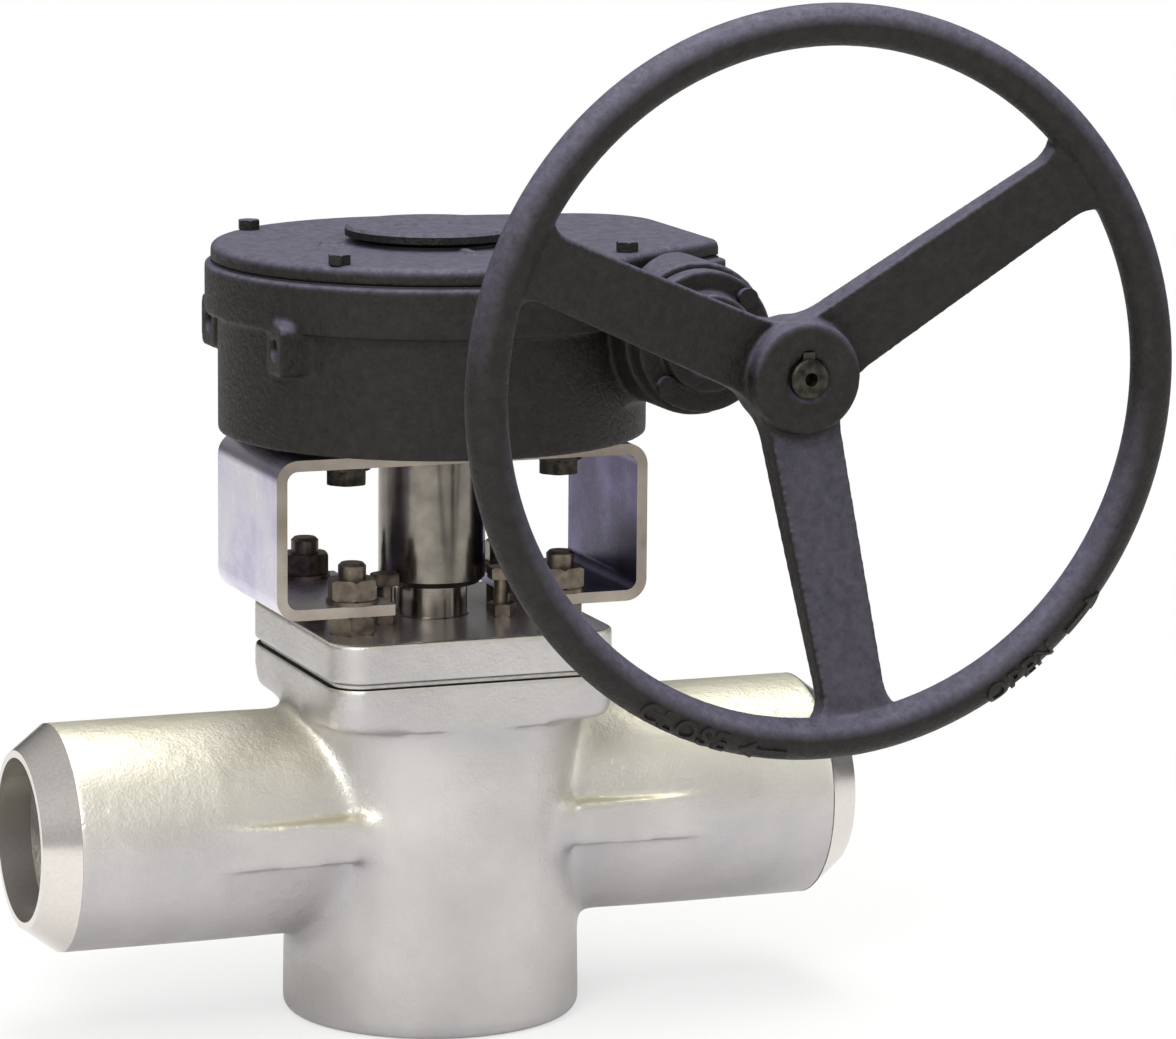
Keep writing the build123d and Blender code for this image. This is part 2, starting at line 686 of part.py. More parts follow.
def wheel_plan():
    """Hub, spokes and inner edge of the rim, seen along the shaft, with all inner corners rounded."""
    plan = Circle(hub_r) + (Circle(wheel_ring_r + 2) - Circle(wheel_ring_r - 2))
    for angle in spoke_angles:
        spoke = make_face(Polyline((0, -spoke_hub_width / 2), (wheel_ring_r, -spoke_rim_width / 2),
                                   (wheel_ring_r, spoke_rim_width / 2), (0, spoke_hub_width / 2), close=True))
        plan = plan + Rot(0, 0, angle) * spoke
    near_hub = [v for v in plan.vertices() if math.hypot(v.X, v.Y) < hub_r + 12]
    plan = fillet(near_hub, spoke_hub_fillet)
    near_rim = [v for v in plan.vertices() if abs(math.hypot(v.X, v.Y) - (wheel_ring_r - 2)) < 0.5]
    return fillet(near_rim, spoke_rim_fillet)


def make_handwheel():
    spoke_y = hub_back_y - hub_length / 2 + spoke_shift
    hub_half, rim_half = spoke_hub_thick / 2, spoke_rim_thick / 2
    end = wheel_ring_r + 1
    dish = make_face(Polyline((0, spoke_y - hub_half), (hub_r, spoke_y - hub_half),
                              (end, wheel_plane_y - rim_half), (end, wheel_plane_y + rim_half),
                              (hub_r, spoke_y + hub_half), (0, spoke_y + hub_half), close=True))
    spokes = extrude(Plane.XZ * wheel_plan(), -wheel_plane_y + wheel_wire_r) & revolve(dish, Axis.Y)
    spokes = Rot(0, -spoke_turn, 0) * spokes
    ring = Pos(0, wheel_plane_y, 0) * Rot(90, 0, 0) * Torus(wheel_ring_r, wheel_wire_r)
    hub = bar_y(hub_r, hub_front_y, hub_back_y)
    hub = chamfer(hub.edges().filter_by(GeomType.CIRCLE), edge_break)
    wheel = Pos(worm_x, 0, worm_height) * (spokes + ring + hub)
    wheel = wheel - bar_y(drive_r + snug_gap, hub_front_y, hub_back_y, worm_x, worm_height)
    wheel = wheel - hand_key_block(0.0)
    return wheel - post(grub_r + snug_gap, worm_height - 1.5 * hub_r, worm_height, worm_x, hub_back_y - grub_y)


def make_grub_screw():
    low = worm_height - hub_r + grub_sunk
    return post(grub_r, low, worm_height - drive_r - run_gap, worm_x, hub_back_y - grub_y)


def make_disc():
    top = disc_z + disc_thick
    disc = post(disc_r, disc_z, top)
    disc = chamfer(disc.edges().group_by(Axis.Z)[-1], edge_break)
    for x in (-disc_screw_x, disc_screw_x):
        disc = disc - post(disc_screw_r + turn_gap, disc_z, top, x)
        disc = disc - post(disc_screw_head_r + turn_gap, top - disc_screw_head, top, x)
    return disc


def make_disc_screw(sign):
    top = disc_z + disc_thick
    head = post(disc_screw_head_r, top - disc_screw_head, top, sign * disc_screw_x)
    return head + post(disc_screw_r, disc_z - disc_screw_reach, top - disc_screw_head, sign * disc_screw_x)


os.makedirs("parts", exist_ok=True)

# fixed valve
save("body", [make_body()])
save("sleeve", [make_sleeve()])
save("ptfe_diaphragm", [diaphragm(flange_top_z, ptfe_thick)])
save("metal_diaphragm", [diaphragm(foil_z, foil_thick)])
save("stem_seal", [post(seal_r, bonnet_z, collar_z) - post(stem_r + turn_gap, bonnet_z, collar_z)])
save("thrust_collar", [post(collar_r, collar_z, pocket_top_z)
                       - post(stem_r + turn_gap, collar_z, pocket_top_z)])
save("bonnet", [make_bonnet()])
save("adjuster_bolts", [make_adjuster(angle) for angle in adjuster_angles])
save("adjuster_nuts", [make_adjuster_nut(angle) for angle in adjuster_angles])
save("bonnet_studs", [make_stud(x, y) for x, y in stud_places])
save("bonnet_nuts", [make_nut(nut_flats, stud_r, bonnet_top_z, foot_z, x, y, lower_nut_turn)
                      for x, y in stud_places])
save("bracket_washers", [make_washer(washer_r, stud_r, foot_top_z, washer_thick, x, y) for x, y in stud_places])
save("bracket_nuts", [make_nut(nut_flats, stud_r, upper_nut_z, upper_nut_z + upper_nut_height, x, y,
                               upper_nut_turn) for x, y in stud_places])
save("bracket", [make_bracket()])

# plug train
save("plug", [make_plug()])
save("coupling", [make_coupling()])
save("stem_key", [make_key(stem_r, coupling_bottom_z + key_margin,
                           coupling_bottom_z + coupling_socket - key_end)])
save("wheel_key", [make_key(shaft_r, wheel_z - wheel_key_reach + 1, wheel_z + wheel_thick + key_end)])
save("worm_wheel", [make_worm_wheel()])
save("indicator_disc", [make_disc()])
save("indicator_screws", [make_disc_screw(sign) for sign in (-1, 1)])

# gearbox
save("gearbox_bolts", [make_box_bolt(x, y) for x, y in box_bolt_places])
save("gearbox_washers", [make_washer(box_washer_r, box_bolt_r, bracket_under_z - box_washer_thick,
                                     box_washer_thick, x, y) for x, y in box_bolt_places])
save("gear_housing", [make_housing()])
save("housing_gasket", [make_gasket()])
save("housing_cover", [make_lid()])
save("cover_screws", [make_lid_screw(angle) for angle in lid_screw_angles])
save("lower_bush", [bush(wheel_hub_r, drum_z, floor_z)])
save("upper_bush", [bush(wheel_spigot_r, lid_z, lid_top_z)])
save("front_bearing", [bearing(-bearing_y - bearing_width, -bearing_y)])
save("rear_bearing", [bearing(bearing_y, bearing_y + bearing_width)])
save("front_cap", [make_cap(barrel_front_y, -1, True)])
save("rear_cap", [make_cap(barrel_rear_y, 1, False)])
save("front_cap_screws", cap_screws(barrel_front_y, -1))
save("rear_cap_screws", cap_screws(barrel_rear_y, 1))
save("shaft_seal", [make_shaft_seal()])
save("stop_screws", [make_stop_screw(sign) for sign in (-1, 1)])

# worm shaft and handwheel
save("worm_shaft", [make_worm_shaft()])
save("handwheel", [make_handwheel()])
save("handwheel_key", [hand_key_block(snug_gap)])
save("handwheel_screw", [make_grub_screw()])
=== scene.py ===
# %% [markdown]
# # A plug valve with a worm gearbox and a handwheel
# The valve is a stainless casting with two weld stubs.  A bent, zinc-plated bracket carries a gearbox of
# black painted cast iron, and a large spoked handwheel turns its worm.  The CAD model holds every real
# shape and size.  Here those shapes get their finishes, their cast corners and the marks on the rim.

# %% Load the CAD model
import math

import bmesh
import bpy
from mathutils import Matrix, Vector


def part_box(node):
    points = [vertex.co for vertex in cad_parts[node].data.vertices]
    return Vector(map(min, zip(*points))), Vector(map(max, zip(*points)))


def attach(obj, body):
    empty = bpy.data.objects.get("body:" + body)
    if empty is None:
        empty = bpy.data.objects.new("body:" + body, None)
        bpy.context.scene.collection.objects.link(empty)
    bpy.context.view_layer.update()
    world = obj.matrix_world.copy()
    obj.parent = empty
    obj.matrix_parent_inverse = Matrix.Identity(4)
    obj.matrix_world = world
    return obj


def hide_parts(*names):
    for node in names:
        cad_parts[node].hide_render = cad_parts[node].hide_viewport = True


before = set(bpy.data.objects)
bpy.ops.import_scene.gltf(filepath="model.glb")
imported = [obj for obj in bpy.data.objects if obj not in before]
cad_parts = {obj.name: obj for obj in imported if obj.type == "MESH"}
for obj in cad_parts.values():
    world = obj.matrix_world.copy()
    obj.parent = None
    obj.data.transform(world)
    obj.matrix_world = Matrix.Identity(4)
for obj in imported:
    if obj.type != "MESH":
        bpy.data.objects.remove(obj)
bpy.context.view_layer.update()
MM = 0.001
WAVES_PER_UNIT = 0.31               # a wave texture of scale 1 repeats about this many times in one unit

# %% [markdown]
# ## Colour and node helpers
# Colours are written the way a paint card gives them, as sRGB hex, and one function turns them into the
# linear numbers that Blender works in.  One more function adds a node with its settings and its links.
# The other two only turn a size in millimetres, or a range, into such settings.

# %% Helpers for materials
def linear(hex_colour):
    parts = [int(hex_colour[i:i + 2], 16) / 255 for i in (1, 3, 5)]
    return [c / 12.92 if c <= 0.04045 else ((c + 0.055) / 1.055) ** 2.4 for c in parts] + [1.0]


def add_node(tree, kind, settings=None, **links):
    """Adds a node.  Settings are properties, input values or a ramp's colour stops.  A link is a socket, or
    a node whose first output is meant; i and a number names an input by its place."""
    node = tree.nodes.new(kind)
    for name, value in (settings or {}).items():
        if name == "stops":
            while len(node.color_ramp.elements) < len(value):
                node.color_ramp.elements.new(0.5)
            for element, (at, colour) in zip(node.color_ramp.elements, value):
                element.position = at
                element.color = linear(colour)
        elif isinstance(name, str) and hasattr(node, name):
            setattr(node, name, value)
        else:
            node.inputs[name].default_value = value
    for name, source in links.items():
        key = int(name[1:]) if name[0] == "i" and name[1:].isdigit() else name.replace("_", " ")
        tree.links.new(source.outputs[0] if hasattr(source, "outputs") else source, node.inputs[key])
    return node


def grains(size_mm, detail=3.0, roughness=0.55):
    """Noise settings for grains about size_mm across."""
    return {"Scale": 1 / (size_mm * MM), "Detail": detail, "Roughness": roughness}


def stretched(low, high):
    """Settings that map the middle of a noise onto low to high."""
    return {"From Min": 0.3, "From Max": 0.7, "To Min": low, "To Max": high}

# %% Helpers for finishes
def new_material(name):
    material = bpy.data.materials.new(name)
    material.use_nodes = True
    tree = material.node_tree
    tree.nodes.clear()
    return material, tree, add_node(tree, "ShaderNodeTexCoord").outputs["Object"]


def finish_surface(tree, settings, **links):
    shader = add_node(tree, "ShaderNodeBsdfPrincipled", settings, **links)
    add_node(tree, "ShaderNodeOutputMaterial", Surface=shader)


def facing(tree, axis):
    """How far the surface looks along an axis, from -1 to 1."""
    normal = add_node(tree, "ShaderNodeNewGeometry").outputs["Normal"]
    return add_node(tree, "ShaderNodeSeparateXYZ", Vector=normal).outputs[axis]


def cover(nodes, material):
    """Puts a material on every slot of the named CAD nodes."""
    for name in nodes:
        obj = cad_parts[name]
        if not obj.material_slots:
            obj.data.materials.append(material)
        for place in obj.material_slots:
            place.material = material
    print(material.name, "on", ", ".join(nodes))

# %% [markdown]
# ## Blasted stainless steel
# The body and the bonnet are investment castings in stainless steel, blasted with glass beads.  The eye
# sees a soft, pale grey satin with faint clouds and a very fine grain.  It is warmer where it looks up:
# a painted reflection of warm light from above.  The weld bevels and the bonnet's top are machined
# afterwards: brighter and smoother, with fine tool rings.  Where machining starts is a level along one
# axis, so a mask from the position tells the two finishes apart on one mesh.  A second mask paints shade
# on the narrow joint between the two flanges, so that it reads as a gap.

# %% Stainless casting
def stainless(name, axis, machined_from, joint_side, joint_z):
    material, tree, place = new_material(name)
    xyz = add_node(tree, "ShaderNodeSeparateXYZ", Vector=place)
    away = add_node(tree, "ShaderNodeMath", {"operation": "ABSOLUTE"}, i0=xyz.outputs[axis])
    machined = add_node(tree, "ShaderNodeMath", {"operation": "GREATER_THAN", 1: machined_from}, i0=away)
    joint = add_node(tree, "ShaderNodeMath", {"operation": joint_side, 1: joint_z}, i0=xyz.outputs["Z"])
    clouds = add_node(tree, "ShaderNodeTexNoise", grains(60), Vector=place)
    grain = add_node(tree, "ShaderNodeTexNoise", grains(1.4), Vector=place)
    waves = add_node(tree, "ShaderNodeTexNoise", grains(7), Vector=place)
    rings = add_node(tree, "ShaderNodeTexWave",
                     {"bands_direction": axis, "Scale": WAVES_PER_UNIT / (0.7 * MM)},
                     Vector=place).outputs["Fac"]

    cool = add_node(tree, "ShaderNodeValToRGB", {"stops": [(0.3, "#B3B0B3"), (0.7, "#C6C3C3")]}, Fac=clouds)
    # painted reflection: surfaces that look up get a warm cream, standing in for warm light from above
    painted_warm_reflection = add_node(tree, "ShaderNodeValToRGB", {"stops": [(0.3, "#DDD9C4"), (0.7, "#EBE7D2")]}, Fac=clouds)
    bright = add_node(tree, "ShaderNodeValToRGB", {"stops": [(0.3, "#CFCAC6"), (0.7, "#DAD6D0")]}, Fac=grain)
    # painted shade: near-black for the joint between the two flanges, standing in for the shadow in the gap
    painted_gap_shade = add_node(tree, "ShaderNodeValToRGB", {"stops": [(0.3, "#14110F"), (0.7, "#2A2622")]}, Fac=grain)
    upward = add_node(tree, "ShaderNodeMapRange", {"From Min": -0.1, "From Max": 0.9},
                      Value=facing(tree, "Z"))
    cast = add_node(tree, "ShaderNodeMix", {"data_type": "RGBA"}, i0=upward, i6=cool, i7=painted_warm_reflection)
    metal = add_node(tree, "ShaderNodeMix", {"data_type": "RGBA"}, i0=machined, i6=cast.outputs[2], i7=bright)
    colour = add_node(tree, "ShaderNodeMix", {"data_type": "RGBA"}, i0=joint, i6=metal.outputs[2], i7=painted_gap_shade)

    satin = add_node(tree, "ShaderNodeMapRange", stretched(0.36, 0.50), Value=grain)
    turned = add_node(tree, "ShaderNodeMapRange", stretched(0.17, 0.24), Value=rings)
    rough = add_node(tree, "ShaderNodeMix", {"data_type": "FLOAT"}, i0=machined, i2=satin, i3=turned)

    blasted = add_node(tree, "ShaderNodeMath", {"operation": "SUBTRACT", 0: 1.0}, i1=machined)
    fine = add_node(tree, "ShaderNodeMath", {"operation": "MULTIPLY"}, i0=grain, i1=blasted)
    broad = add_node(tree, "ShaderNodeMath", {"operation": "MULTIPLY"}, i0=waves, i1=blasted)
    swell = add_node(tree, "ShaderNodeBump", {"Strength": 1.0, "Distance": 0.45 * MM}, Height=broad)
    relief = add_node(tree, "ShaderNodeBump", {"Strength": 1.0, "Distance": 0.22 * MM}, Height=fine,
                      Normal=swell)
    finish_surface(tree, {"Metallic": 0.9}, Base_Color=colour.outputs[2], Roughness=rough, Normal=relief)
    return material

# %% Stainless on the body and the bonnet
machined_end = 16.9 * MM            # just short of the weld bevel's 17 mm
top_skim = 0.4 * MM                 # the bonnet counts as machined this far down from its top
# painted shade: the gap between the flanges is darkened this far onto each flange, standing in for its shadow
gap_shade_reach = 0.6 * MM               # the dark line reaches this far onto each flange
bevel_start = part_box("body")[1].x - machined_end
flange_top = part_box("body")[1].z
bonnet_low, bonnet_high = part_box("bonnet")
body_finish = stainless("blasted_stainless_body", "X", bevel_start, "GREATER_THAN", flange_top - gap_shade_reach)
bonnet_finish = stainless("blasted_stainless_bonnet", "Z", bonnet_high.z - top_skim, "LESS_THAN",
                          bonnet_low.z + gap_shade_reach)
cover(["body"], body_finish)
cover(["bonnet"], bonnet_finish)

# %% [markdown]
# ## Zinc-plated sheet
# The bracket is bent from thick steel sheet and then plated.  The passivate on the zinc is pale lilac at
# the left and goes to a dark violet at the right: the violet is the passivate's own tint, and the
# darkening is painted shade on the bracket's inner right wall.  The cut front edges are straw-coloured.

# %% Zinc plate
def zinc_plate():
    material, tree, place = new_material("zinc_plated_sheet")
    across = add_node(tree, "ShaderNodeSeparateXYZ", Vector=place).outputs["X"]
    right = add_node(tree, "ShaderNodeMapRange", {"From Min": -60 * MM, "From Max": 85 * MM}, Value=across)
    sheared = add_node(tree, "ShaderNodeMath", {"operation": "LESS_THAN", 1: -0.9}, i0=facing(tree, "Y"))
    drift = add_node(tree, "ShaderNodeTexNoise", grains(40), Vector=place)
    specks = add_node(tree, "ShaderNodeTexNoise", grains(2.2, 4, 0.6), Vector=place)

    pale_stops = [(0.3, "#B9B1D0"), (0.5, "#D3CEDF"), (0.7, "#E0DCDC")]
    # painted shade: the right-hand ramp is far darker, standing in for the shadow on the inner right wall;
    # its violet tint is the passivate's
    violet_and_shade_stops = [(0.3, "#2B2444"), (0.5, "#41385F"), (0.7, "#635984")]
    straw_stops = [(0.3, "#8E8378"), (0.7, "#B9B0A6")]
    pale = add_node(tree, "ShaderNodeValToRGB", {"stops": pale_stops}, Fac=drift)
    violet_and_painted_shade = add_node(tree, "ShaderNodeValToRGB", {"stops": violet_and_shade_stops}, Fac=drift)
    straw = add_node(tree, "ShaderNodeValToRGB", {"stops": straw_stops}, Fac=drift)
    face = add_node(tree, "ShaderNodeMix", {"data_type": "RGBA"}, i0=right, i6=pale, i7=violet_and_painted_shade)
    colour = add_node(tree, "ShaderNodeMix", {"data_type": "RGBA"}, i0=sheared, i6=face.outputs[2], i7=straw)

    rough = add_node(tree, "ShaderNodeMapRange", stretched(0.26, 0.38), Value=specks)
    relief = add_node(tree, "ShaderNodeBump", {"Strength": 1.0, "Distance": 0.03 * MM}, Height=specks)
    finish_surface(tree, {"Metallic": 0.95}, Base_Color=colour.outputs[2], Roughness=rough, Normal=relief)
    return material


cover(["bracket"], zinc_plate())

# %% [markdown]
# ## Bolts, nuts and studs
# Fasteners are alloy steel, darkened by heat treatment and oil.  They look brownish grey with a dull
# sheen and slightly brighter worn specks.  The gearbox's bolts, the keys and the worm shaft are darker,
# with a black oxide finish.

# %% Dark fastener steel
def fastener_steel(name, low, high):
    material, tree, place = new_material(name)
    wear = add_node(tree, "ShaderNodeTexNoise", grains(5, 3, 0.5), Vector=place)
    grain = add_node(tree, "ShaderNodeTexNoise", grains(0.8), Vector=place)
    colour = add_node(tree, "ShaderNodeValToRGB", {"stops": [(0.35, low), (0.65, high)]}, Fac=wear)
    rough = add_node(tree, "ShaderNodeMapRange", stretched(0.3, 0.5), Value=wear)
    relief = add_node(tree, "ShaderNodeBump", {"Strength": 1.0, "Distance": 0.05 * MM}, Height=grain)
    finish_surface(tree, {"Metallic": 0.9}, Base_Color=colour, Roughness=rough, Normal=relief)
    return material


brown_steel = fastener_steel("oiled_alloy_steel", "#5B5249", "#7D7266")
black_steel = fastener_steel("black_oxide_steel", "#26241F", "#4A463F")
cover(["bonnet_studs", "bonnet_nuts", "bracket_nuts", "bracket_washers", "adjuster_bolts", "adjuster_nuts"],
      brown_steel)
cover(["gearbox_bolts", "gearbox_washers", "stop_screws", "handwheel_screw", "handwheel_key", "stem_key",
       "wheel_key", "worm_shaft"], black_steel)

# %% [markdown]
# ## Turned steel
# The plug with its stem, the coupling, the thrust collar and the bearing rings come off a lathe.  The tool
# leaves rings round the axis, which stretch every highlight along the bar.  A wave texture along the axis
# gives the rings.  The thin metal diaphragm gets the same bright steel.

# %% Turned steel
def turned_steel(name, axis, pitch_mm):
    material, tree, place = new_material(name)
    rings = add_node(tree, "ShaderNodeTexWave",
                     {"bands_direction": axis, "Scale": WAVES_PER_UNIT / (pitch_mm * MM)},
                     Vector=place).outputs["Fac"]
    patches = add_node(tree, "ShaderNodeTexNoise", grains(12), Vector=place)
    colour = add_node(tree, "ShaderNodeValToRGB", {"stops": [(0.3, "#6E6A63"), (0.7, "#8A857C")]},
                      Fac=patches)
    rough = add_node(tree, "ShaderNodeMapRange", stretched(0.16, 0.24), Value=rings)
    relief = add_node(tree, "ShaderNodeBump", {"Strength": 1.0, "Distance": 0.004 * MM}, Height=rings)
    finish_surface(tree, {"Metallic": 1.0}, Base_Color=colour, Roughness=rough, Normal=relief)
    return material


cover(["coupling", "plug", "thrust_collar", "metal_diaphragm"], turned_steel("turned_steel_stem", "Z", 0.8))
cover(["front_bearing", "rear_bearing"], turned_steel("turned_steel_shaft", "Y", 0.8))

# %% [markdown]
# ## Painted cast iron
# The gearbox and the handwheel are sand castings in grey iron with one coat of charcoal black paint.
# The sand leaves a skin of lumps two to three millimetres across, and the paint gives it a soft, dull
# gloss.  The paint is greyer where it looks up: that purple-grey is painted light, a sheen from the lamps
# above.  The raised lettering gets the same paint without the painted sheen, so that it stands out dark.

# %% Black paint on cast iron
def painted_iron(name, top_sheen_low, top_sheen_high):
    material, tree, place = new_material(name)
    lumps = add_node(tree, "ShaderNodeTexNoise", grains(2.6, 5, 0.65), Vector=place)
    pores = add_node(tree, "ShaderNodeTexVoronoi", {"Scale": 1 / (2.2 * MM)}, Vector=place)
    clouds = add_node(tree, "ShaderNodeTexNoise", grains(5, 6, 0.7), Vector=place)
    side = add_node(tree, "ShaderNodeValToRGB", {"stops": [(0.3, "#0C0A09"), (0.7, "#231F1C")]}, Fac=clouds)
    # painted highlight: surfaces that look up turn purple-grey, standing in for the sheen of light from above
    painted_top_sheen = add_node(tree, "ShaderNodeValToRGB", {"stops": [(0.3, top_sheen_low), (0.7, top_sheen_high)]}, Fac=clouds)
    upward = add_node(tree, "ShaderNodeMapRange", {"From Min": 0.03, "From Max": 0.55},
                      Value=facing(tree, "Z"))
    colour = add_node(tree, "ShaderNodeMix", {"data_type": "RGBA"}, i0=upward, i6=side, i7=painted_top_sheen)
    rough = add_node(tree, "ShaderNodeMapRange", stretched(0.42, 0.60), Value=lumps)
    swell = add_node(tree, "ShaderNodeBump", {"Strength": 1.0, "Distance": 0.9 * MM}, Height=lumps)
    relief = add_node(tree, "ShaderNodeBump", {"Strength": 1.0, "Distance": 0.15 * MM}, Height=pores,
                      Normal=swell)
    finish_surface(tree, {"Metallic": 0.0, "IOR": 1.5, "Specular IOR Level": 0.28},
                   Base_Color=colour.outputs[2], Roughness=rough, Normal=relief)
    return material


iron_paint = painted_iron("charcoal_paint_on_cast_iron", "#45424F", "#625E70")
# the lettering's paint has no painted top sheen, only the dark side colour
paint_without_top_sheen = painted_iron("charcoal_paint_in_the_lettering", "#0C0A09", "#231F1C")
cover(["gear_housing", "housing_cover", "front_cap", "rear_cap", "indicator_disc", "handwheel",
       "cover_screws", "front_cap_screws", "rear_cap_screws", "indicator_screws"], iron_paint)

# %% [markdown]
# ## Seals, gaskets and bronze
# PTFE is a waxy white plastic, the gasket and the shaft seal are black nitrile rubber, and the bushes and
# the worm wheel are cast bronze.  Little of them shows, but each is what it is on the real valve.

# %% PTFE, rubber and bronze
def plain(name, low, high, grain_mm, rough_low, rough_high, shader_settings):
    material, tree, place = new_material(name)
    grain = add_node(tree, "ShaderNodeTexNoise", grains(grain_mm), Vector=place)
    colour = add_node(tree, "ShaderNodeValToRGB", {"stops": [(0.35, low), (0.65, high)]}, Fac=grain)
    rough = add_node(tree, "ShaderNodeMapRange", stretched(rough_low, rough_high), Value=grain)
    relief = add_node(tree, "ShaderNodeBump", {"Strength": 1.0, "Distance": 0.04 * MM}, Height=grain)
    finish_surface(tree, shader_settings, Base_Color=colour, Roughness=rough, Normal=relief)
    return material


cover(["sleeve", "ptfe_diaphragm", "stem_seal"],
      plain("waxy_white_ptfe", "#D8D7D0", "#E9E8E2", 4, 0.35, 0.5, {"IOR": 1.35}))
cover(["housing_gasket", "shaft_seal"],
      plain("black_nitrile_rubber", "#151515", "#222121", 2, 0.55, 0.7, {"IOR": 1.52}))
cover(["worm_wheel", "lower_bush", "upper_bush"],
      plain("cast_bronze", "#8A5A2B", "#A8743C", 5, 0.3, 0.45, {"Metallic": 1.0}))

# %% [markdown]
# ## Cast skins
# A sand casting has no sharp edges: every outer edge is rounded and every inner corner is filled.  The CAD
# solids have crisp edges there.  A voxel remesh of the solid followed by a few smoothing passes rounds
# both kinds of corner at once, which no bevel does as evenly on so many crossing shapes.

# %% Round the castings
def smoothed(mesh, name, modifiers):
    """A new mesh: the given one after a list of (kind, settings) modifiers."""
    carrier = bpy.data.objects.new(name, mesh)
    bpy.context.scene.collection.objects.link(carrier)
    if "junction" in mesh:
        group = carrier.vertex_groups.new(name="junction")
        for index, weight in enumerate(mesh["junction"]):
            group.add([index], weight, "REPLACE")
    for kind, settings in modifiers:
        modifier = carrier.modifiers.new(kind.lower(), kind)
        for key, value in settings.items():
            setattr(modifier, key, value)
    result = bpy.data.meshes.new_from_object(carrier.evaluated_get(bpy.context.evaluated_depsgraph_get()))
    bpy.data.objects.remove(carrier)
    return result


def voxel_skin(node, voxel_mm, passes):
    size = voxel_mm * MM * 1
    return smoothed(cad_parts[node].data.copy(), node + "_skin",
                    [("REMESH", {"mode": "VOXEL", "voxel_size": size}),
                     ("SMOOTH", {"factor": 0.5, "iterations": passes})])


def place_skin(node, body, mesh, material):
    mesh.materials.clear()
    mesh.materials.append(material)
    mesh.polygons.foreach_set("use_smooth", [True] * len(mesh.polygons))
    skin = bpy.data.objects.new(node + "_skin", mesh)
    bpy.context.scene.collection.objects.link(skin)
    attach(skin, body)
    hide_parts(node)
    print(skin.name, len(mesh.polygons), "faces")

# %% Skins for the gearbox, the handwheel and the bonnet
for node, body, voxel, passes in (("handwheel", "worm_train", 0.9, 22), ("gear_housing", "valve", 1.2, 10),
                                  ("housing_cover", "valve", 1.0, 6), ("front_cap", "valve", 0.8, 8),
                                  ("rear_cap", "valve", 0.8, 8)):
    place_skin(node, body, voxel_skin(node, voxel, passes), iron_paint)
place_skin("bonnet", "valve", voxel_skin("bonnet", 1.0, 5), bonnet_finish)

# %% [markdown]
# ## The body's skin
# The body gets the same treatment with one more step.  Where the stubs and the flange grow out of the
# barrel the casting has wide inner corners, so those places are smoothed much longer than the outer
# edges, and the flat band along each stub is held back from it.  The weld bevels are cut on a lathe, so
# they stay crisp: the skin is cut off at the start of each bevel and the exact CAD ends are joined on.

# %% Where the body is smoothed longer
pipe_z, pipe_reach = 102, 68            # the stubs' axis and how far from it they matter, in millimetres
stub_starts, stub_ends = (34, 42), (75, 100)
flange_starts, flange_ends, flange_reach = (136, 146), (153.5, 157.5), 72
band_half, band_y, band_x, band_hold = 15, 40, 58, 0.85


def rise(value, start, end):
    """0 before start, 1 after end and a straight slope between them."""
    return min(max((value - start) / (end - start), 0), 1)


def junction_weight(point):
    x, y, z = abs(point.x) / MM, abs(point.y) / MM, point.z / MM
    from_axis = abs(z - pipe_z)
    near_stub = min(rise(x, *stub_starts), 1 - rise(x, *stub_ends)) if from_axis < pipe_reach else 0
    near_flange = min(rise(z, *flange_starts), 1 - rise(z, *flange_ends)) if x < flange_reach else 0
    on_band = band_hold if from_axis < band_half and y > band_y and x > band_x else 0
    return max(near_stub - on_band, near_flange, 0)


# %% Body: wide inner corners, crisp machined ends
def cut_mesh(mesh, side, keep_inside):
    shape = bmesh.new()
    shape.from_mesh(mesh)
    bmesh.ops.bisect_plane(shape, geom=shape.verts[:] + shape.edges[:] + shape.faces[:],
                           plane_co=(side * bevel_start, 0, 0), plane_no=(side, 0, 0),
                           clear_outer=keep_inside, clear_inner=not keep_inside)
    return shape


skin = voxel_skin("body", 1.3, 10)
skin["junction"] = [junction_weight(vertex.co) for vertex in skin.vertices]
junction_passes = 160
skin = smoothed(skin, "body_soft",
                [("SMOOTH", {"factor": 0.5, "iterations": junction_passes, "vertex_group": "junction"})])
whole = bmesh.new()
for side in (-1, 1):
    middle = cut_mesh(skin, side, True)
    middle.to_mesh(skin)
    ends = bpy.data.meshes.new("end")
    cut_mesh(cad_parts["body"].data, side, False).to_mesh(ends)
    whole.from_mesh(ends)
whole.from_mesh(skin)
whole.to_mesh(skin)
place_skin("body", "valve", skin, body_finish)

# %% [markdown]
# ## Dust seal under the position disc
# A soft rubber lip round the wheel's spigot keeps rain and grit out of the gearbox.  It is a ring with one
# profile all the way round: a flat foot on the lid and a thin lip that leans outwards under the disc.
# The seal is a likely piece rather than a known one, and its profile is a guess.

# %% Spin the seal's profile
lid_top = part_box("upper_bush")[1].z
disc_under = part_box("indicator_disc")[0].z
lip = disc_under - lid_top - 0.3 * MM
# Each corner is a radius in millimetres and a share of the lip's height.
profile = [(24.9, 0), (38, 0), (38, 0.35), (35, 0.5), (36.5, 1), (33.5, 1), (31, 0.55), (24.9, 0.5)]
ring = bmesh.new()
corners = [ring.verts.new((r * MM, 0, lid_top + 0.05 * MM + h * lip)) for r, h in profile]
edges = [ring.edges.new((a, b)) for a, b in zip(corners, corners[1:] + corners[:1])]
bmesh.ops.spin(ring, geom=corners + edges, cent=(0, 0, 0), axis=(0, 0, 1), angle=2 * math.pi, steps=96,
               use_merge=True)
bmesh.ops.recalc_face_normals(ring, faces=ring.faces[:])
seal_mesh = bpy.data.meshes.new("dust_seal")
ring.to_mesh(seal_mesh)
seal_mesh.materials.append(bpy.data.materials["black_nitrile_rubber"])
seal = bpy.data.objects.new("dust_seal", seal_mesh)
bpy.context.scene.collection.objects.link(seal)
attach(seal, "valve")
print("dust seal height, mm:", round(lip / MM, 2))

